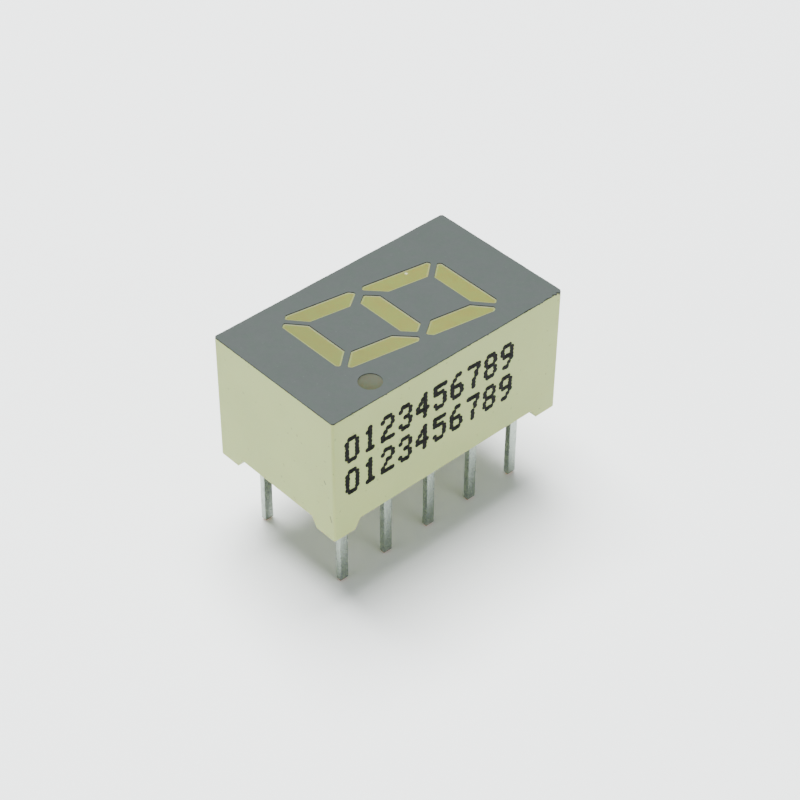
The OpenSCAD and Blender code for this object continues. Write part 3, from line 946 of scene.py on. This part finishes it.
class DISPLAY_OT_resin(bpy.types.Operator):
    """Casts the resin: a dished window in each stroke, the decimal point's dimple and the back filling"""

    bl_idname = "display.resin"
    bl_label = "Resin"

    def execute(self, context):
        sizes = context.scene.display_moulding
        digit = context.scene.display_digit
        pins = context.scene.display_pins
        stroke_resin = window_finish(digit)
        floor_z = board_high.z + digit.relief
        top_z = coat_high.z - digit.meniscus
        sag = digit.meniscus - digit.window_drop
        for name, mouth, floor in stroke_wells(digit):
            made = prism(f"window_{name}", floor, mouth, floor_z, top_z)
            self.dish(made, [(width, sag * share) for width, share in WINDOW_RINGS])
            self.note_painted_light(made, mouth, top_z + sag * RIM_SHARE, digit)
            smooth(made, 60)
            dress(made, stroke_resin, "resin", "resin")
        made = disc("window_point", point_place(digit), digit.point_size / 2, floor_z, top_z)
        step = digit.point_size / 2 / (POINT_RINGS + 0.5)
        depths = [digit.dimple * (1 - (1 - k / POINT_RINGS) ** 2) for k in range(POINT_RINGS + 1)]
        self.dish(made, [(step, depths[k] - depths[k + 1]) for k in range(POINT_RINGS)])
        smooth(made, 60)
        dress(made, point_finish(digit), "resin", "resin")
        self.fill_back(sizes, digit, pins)
        return {"FINISHED"}

    def dish(self, made, rings, side=1):
        """Insets the upper (1) or lower (-1) face ring by ring, and shifts each ring along Z."""
        take(made, "FACE", lambda face: face.normal.z * side > 0.9)
        for width, shift in rings:
            bpy.ops.mesh.inset(thickness=width, depth=0)
            bpy.ops.transform.translate(value=(0, 0, shift))
        bpy.ops.object.mode_set(mode="OBJECT")

    def note_painted_light(self, made, mouth, brink, digit):
        """Notes the rim for a painted highlight, and each edge by how it faces the given turn: 1 for a
        painted highlight, -1 for a painted shadow.
        """
        edge = made.data.attributes.new("painted_edge_light", "FLOAT", "POINT")
        rim = made.data.attributes.new("rim_highlight", "FLOAT", "POINT")
        # The way towards the edges that get the painted highlight
        shift = Vector((math.cos(digit.edge_light_turn), math.sin(digit.edge_light_turn)))
        for vertex in made.data.vertices:
            rim.data[vertex.index].value = float(vertex.co.z > brink)
            here = min(range(len(mouth)), key=lambda k: (vertex.co.xy - mouth[k]).length)
            if (vertex.co.xy - mouth[here]).length < TOUCH:
                way = (mouth[(here + 1) % len(mouth)] - mouth[here - 1]).normalized()
                edge.data[vertex.index].value = Vector((way.y, -way.x)).dot(shift)

    def fill_back(self, sizes, digit, pins):
        """The filling behind the board, drawn up a little along the walls and the pins."""
        level = housing_low.z + sizes.foot_height + digit.back_drop
        drawn_up = sum(depth for _, depth in BACK_RINGS)
        low = (housing_low.x + sizes.wall, housing_low.y + sizes.wall, level - drawn_up)
        high = (housing_high.x - sizes.wall, housing_high.y - sizes.wall, board_low.z)
        made = block("back_filling", low, high)
        self.dish(made, BACK_RINGS, -1)
        for number in PINS:
            carve(made, self.creep(pin_place(number), level, pins.creep), "UNION")
        smooth(made, 50)
        dress(made, resin_finish(digit, "back_resin", 0.92).material, "resin", "resin")

    def creep(self, middle, level, height):
        """A hollow-sided cone of resin round one pin."""
        made = disc("creep", middle, CREEP_FOOT, level - height, level + CREEP_SINK, vertices=28)
        take(made, "EDGE", upright)
        bpy.ops.mesh.subdivide(number_cuts=7)
        bpy.ops.object.mode_set(mode="OBJECT")
        for vertex in made.data.vertices:
            rise = max(0.0, min(1.0, (level - vertex.co.z) / height))
            reach = CREEP_NECK + (CREEP_FOOT - CREEP_NECK) * (1 - rise ** 0.4)
            vertex.co.xy = middle + (vertex.co.xy - middle).normalized() * reach
        return made


class DISPLAY_OT_pins(bpy.types.Operator):
    """Cuts one tinned pin with rolled edges and a chamfered tip, and copies it to all ten places"""

    bl_idname = "display.pins"
    bl_label = "Pins"

    def execute(self, context):
        sizes = context.scene.display_pins
        # The tin's colour carries a painted reflection
        tin_with_reflection = tin_finish("tinned_pin", tuple(sizes.tin_with_reflection))
        low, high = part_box(f"pin_{PINS[0]}")
        first = self.cut_pin(low, high, sizes)
        for number in PINS:
            made = bpy.data.objects.new(f"tinned_pin_{number}", first.data.copy())
            made.data.name = made.name
            context.scene.collection.objects.link(made)
            self.unsettle(made, pin_place(number) - pin_place(PINS[0]), low.z, high.z, sizes, number)
            smooth(made, 35)
            dress(made, tin_with_reflection, "pin", f"pin_{number}")
        bpy.data.meshes.remove(first.data)
        return {"FINISHED"}

    def cut_pin(self, low, high, sizes):
        """A square bar, narrowed at its tip in two steps and ringed along its length."""
        made = block("pin", (low.x, low.y, low.z + sizes.tip), high)
        tip = ((low.x + high.x) / 2, (low.y + high.y) / 2, low.z)
        take(made, "EDGE", upright)
        bpy.ops.mesh.bevel(offset=sizes.roll, segments=3, affect="EDGES")
        bpy.ops.object.mode_set(mode="OBJECT")
        take(made, "FACE", lambda face: face.normal.z < -0.9)
        for share, narrowed in ((0.8, (0.55, 0.8, 1)), (0.2, (0.8, 0.93, 1))):
            bpy.ops.mesh.extrude_region_move(TRANSFORM_OT_translate={"value": (0, 0, -sizes.tip * share)})
            bpy.ops.transform.resize(value=narrowed, center_override=tip)
        bpy.ops.object.mode_set(mode="OBJECT")
        take(made, "EDGE", lambda edge: upright(edge) and abs(edge.calc_length()) > MM)
        bpy.ops.mesh.subdivide(number_cuts=26)
        bpy.ops.object.mode_set(mode="OBJECT")
        return made

    def unsettle(self, made, shift, foot, head, sizes, number):
        """Moves a copy to its place and gives it its own slight unevenness."""
        chance = random.Random(number)
        sway = [chance.uniform(-1, 1) for _ in range(4)]
        for vertex in made.data.vertices:
            height = (vertex.co.z - foot) / (head - foot)
            wave_x = sum(
                math.sin(height * turns + way * PIN_WAVE_SHIFT) * share
                for (turns, share), way in zip(PIN_WAVES_X, sway)
            )
            wave_y = math.sin(height * PIN_WAVES_Y + sway[2] * PIN_WAVE_SHIFT)
            vertex.co.x += shift.x + sizes.waver * wave_x
            vertex.co.y += shift.y + sizes.waver * wave_y


class DISPLAY_OT_marks(bpy.types.Operator):
    """Prints two rows of plain counting digits in dots on the long side"""

    bl_idname = "display.marks"
    bl_label = "Side marks"

    def execute(self, context):
        sizes = context.scene.display_moulding
        chance = random.Random(11)
        dot = self.one_dot()
        shape = bmesh.new()
        for text, start, top in MARK_ROWS:
            for place, character in enumerate(text):
                for row, dots in enumerate(DOT_DIGITS[character]):
                    for column, inked in enumerate(dots):
                        if inked == "1":
                            y = start + place * MARK_PITCH + column * DOT_STEP.x
                            z = top - row * DOT_STEP.y
                            self.stamp(shape, dot, y, z, chance)
        made = bpy.data.objects.new("side_marks", bpy.data.meshes.new("side_marks"))
        context.scene.collection.objects.link(made)
        shape.to_mesh(made.data)
        shape.free()
        bpy.data.meshes.remove(dot.data)
        smooth(made, 50)
        dress(made, mark_finish(sizes), "moulding")
        return {"FINISHED"}

    def one_dot(self):
        """One flat dot of ink with a rounded rim, which lies on the side at the origin."""
        clear_selection()
        bpy.ops.mesh.primitive_cylinder_add(
            vertices=10, radius=DOT_RADIUS, depth=2 * DOT_HEIGHT, rotation=(0, math.pi / 2, 0)
        )
        dot = named("dot")
        take(dot, "FACE", lambda face: face.normal.x > 0.9)
        bpy.ops.mesh.inset(thickness=DOT_RADIUS * 0.25, depth=0)
        bpy.ops.transform.translate(value=(DOT_HEIGHT * 0.4, 0, 0))
        bpy.ops.object.mode_set(mode="OBJECT")
        return dot

    def stamp(self, shape, dot, y, z, chance):
        """Copies the dot to its place, a little off its grid and a little uneven in size."""
        before = len(shape.verts)
        shape.from_mesh(dot.data)
        shape.verts.ensure_lookup_table()
        size = chance.uniform(0.93, 1.08)
        shift = Vector((chance.uniform(-1, 1), chance.uniform(-1, 1))) * DOT_STRAY
        for vertex in shape.verts[before:]:
            vertex.co.x += housing_high.x
            vertex.co.y = vertex.co.y * size + y + shift.x
            vertex.co.z = vertex.co.z * size + z + shift.y


class DISPLAY_OT_inner_parts(bpy.types.Operator):
    """Finishes the board, copper, dice, glue, wires and solder that the resin holds"""

    bl_idname = "display.inner_parts"
    bl_label = "Inner parts"

    def execute(self, context):
        finishes = {
            "circuit_board": laminate_finish(),
            "copper": speckled_finish(
                "gilt_copper", (0.80, 0.58, 0.25), (0.88, 0.66, 0.32), 0.2 * MM, metallic=1.0, roughness=0.25
            ),
            "die_glue": speckled_finish(
                "silver_glue", (0.60, 0.60, 0.62), (0.75, 0.75, 0.77), 0.02 * MM, metallic=0.7, roughness=0.4
            ),
            "die": speckled_finish(
                "sawn_crystal", (0.62, 0.48, 0.12), (0.70, 0.58, 0.20), 0.05 * MM, roughness=0.2
            ),
            "bond_wire": speckled_finish(
                "gold_wire", (0.95, 0.74, 0.30), (1.0, 0.80, 0.38), 0.04 * MM, metallic=1.0, roughness=0.15
            ),
            "solder": tin_finish("bright_solder", (0.70, 0.71, 0.73), roughness=0.16, dull=0.2),
        }
        for name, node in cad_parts.items():
            for start, finish in finishes.items():
                if name.startswith(start):
                    node.data.materials.clear()
                    node.data.materials.append(finish)
                    break
        return {"FINISHED"}


class DISPLAY_OT_stage(bpy.types.Operator):
    """Sets the plain floor, the soft lights and the camera"""

    bl_idname = "display.stage"
    bl_label = "Stage"

    def execute(self, context):
        settings = context.scene.display_stage
        clear_selection()
        bpy.ops.mesh.primitive_plane_add(size=settings.floor_size, location=(0, 0, cad_low.z))
        floor = named("floor")
        floor.data.materials.append(floor_finish(settings))
        for name, place, side, power, tint in LIGHTS:
            self.softbox(name, Vector(place), side, power, tint)
        self.sky()
        self.camera(context, settings)
        return {"FINISHED"}

    def softbox(self, name, place, side, power, tint):
        """A square area light that looks at the part."""
        clear_selection()
        turn = (-place).to_track_quat("-Z", "Y").to_euler()
        bpy.ops.object.light_add(type="AREA", location=place, rotation=turn)
        light = bpy.context.object
        light.name = name
        light.data.shape = "SQUARE"
        light.data.size = side
        light.data.energy = power
        light.data.color = tint

    def sky(self):
        """An even pale surround."""
        world = bpy.data.worlds.new("surround")
        world.use_nodes = True
        background = world.node_tree.nodes["Background"]
        background.inputs["Color"].default_value = SURROUND
        background.inputs["Strength"].default_value = SURROUND_STRENGTH
        bpy.context.scene.world = world

    def camera(self, context, settings):
        """The camera at the photograph's place, which looks where it looked."""
        clear_selection()
        place, aim = Vector(settings.camera_place), Vector(settings.camera_aim)
        turn = (aim - place).to_track_quat("-Z", "Y") @ Quaternion((0, 0, 1), settings.camera_roll)
        bpy.ops.object.camera_add(location=place, rotation=turn.to_euler())
        camera = bpy.context.object
        camera.data.lens = settings.camera_lens
        camera.data.sensor_width = SENSOR_WIDTH
        camera.data.clip_start = 0.005
        camera.data.clip_end = 10
        context.scene.camera = camera


class DISPLAY_PT_panel(bpy.types.Panel):
    """Lists the display's pieces and their sizes"""

    bl_idname = "DISPLAY_PT_panel"
    bl_label = "Display"
    bl_space_type = "VIEW_3D"
    bl_region_type = "UI"
    bl_category = "Display"

    def draw(self, context):
        for operator in OPERATORS:
            self.layout.operator(operator.bl_idname)
        for name, group in GROUPS:
            box = self.layout.box()
            for key in group.__annotations__:
                box.prop(getattr(context.scene, name), key)


GROUPS = (
    ("display_moulding", MouldingSettings),
    ("display_digit", DigitSettings),
    ("display_pins", PinSettings),
    ("display_stage", StageSettings),
)
OPERATORS = (
    DISPLAY_OT_housing,
    DISPLAY_OT_face,
    DISPLAY_OT_resin,
    DISPLAY_OT_pins,
    DISPLAY_OT_marks,
    DISPLAY_OT_inner_parts,
    DISPLAY_OT_stage,
)


def register():
    """Registers the settings, the operators and the panel."""
    for name, group in GROUPS:
        bpy.utils.register_class(group)
        setattr(bpy.types.Scene, name, bpy.props.PointerProperty(type=group))
    for operator in OPERATORS:
        bpy.utils.register_class(operator)
    bpy.utils.register_class(DISPLAY_PT_panel)


def unregister():
    """Removes what register added, in the opposite order."""
    bpy.utils.unregister_class(DISPLAY_PT_panel)
    for operator in reversed(OPERATORS):
        bpy.utils.unregister_class(operator)
    for name, group in reversed(GROUPS):
        delattr(bpy.types.Scene, name)
        bpy.utils.unregister_class(group)


def main():
    """Makes every piece in order."""
    register()
    bpy.ops.display.stage()
    bpy.ops.display.housing()
    bpy.ops.display.face()
    bpy.ops.display.resin()
    bpy.ops.display.pins()
    bpy.ops.display.marks()
    bpy.ops.display.inner_parts()
    clear_selection()


if __name__ == "__main__":
    main()
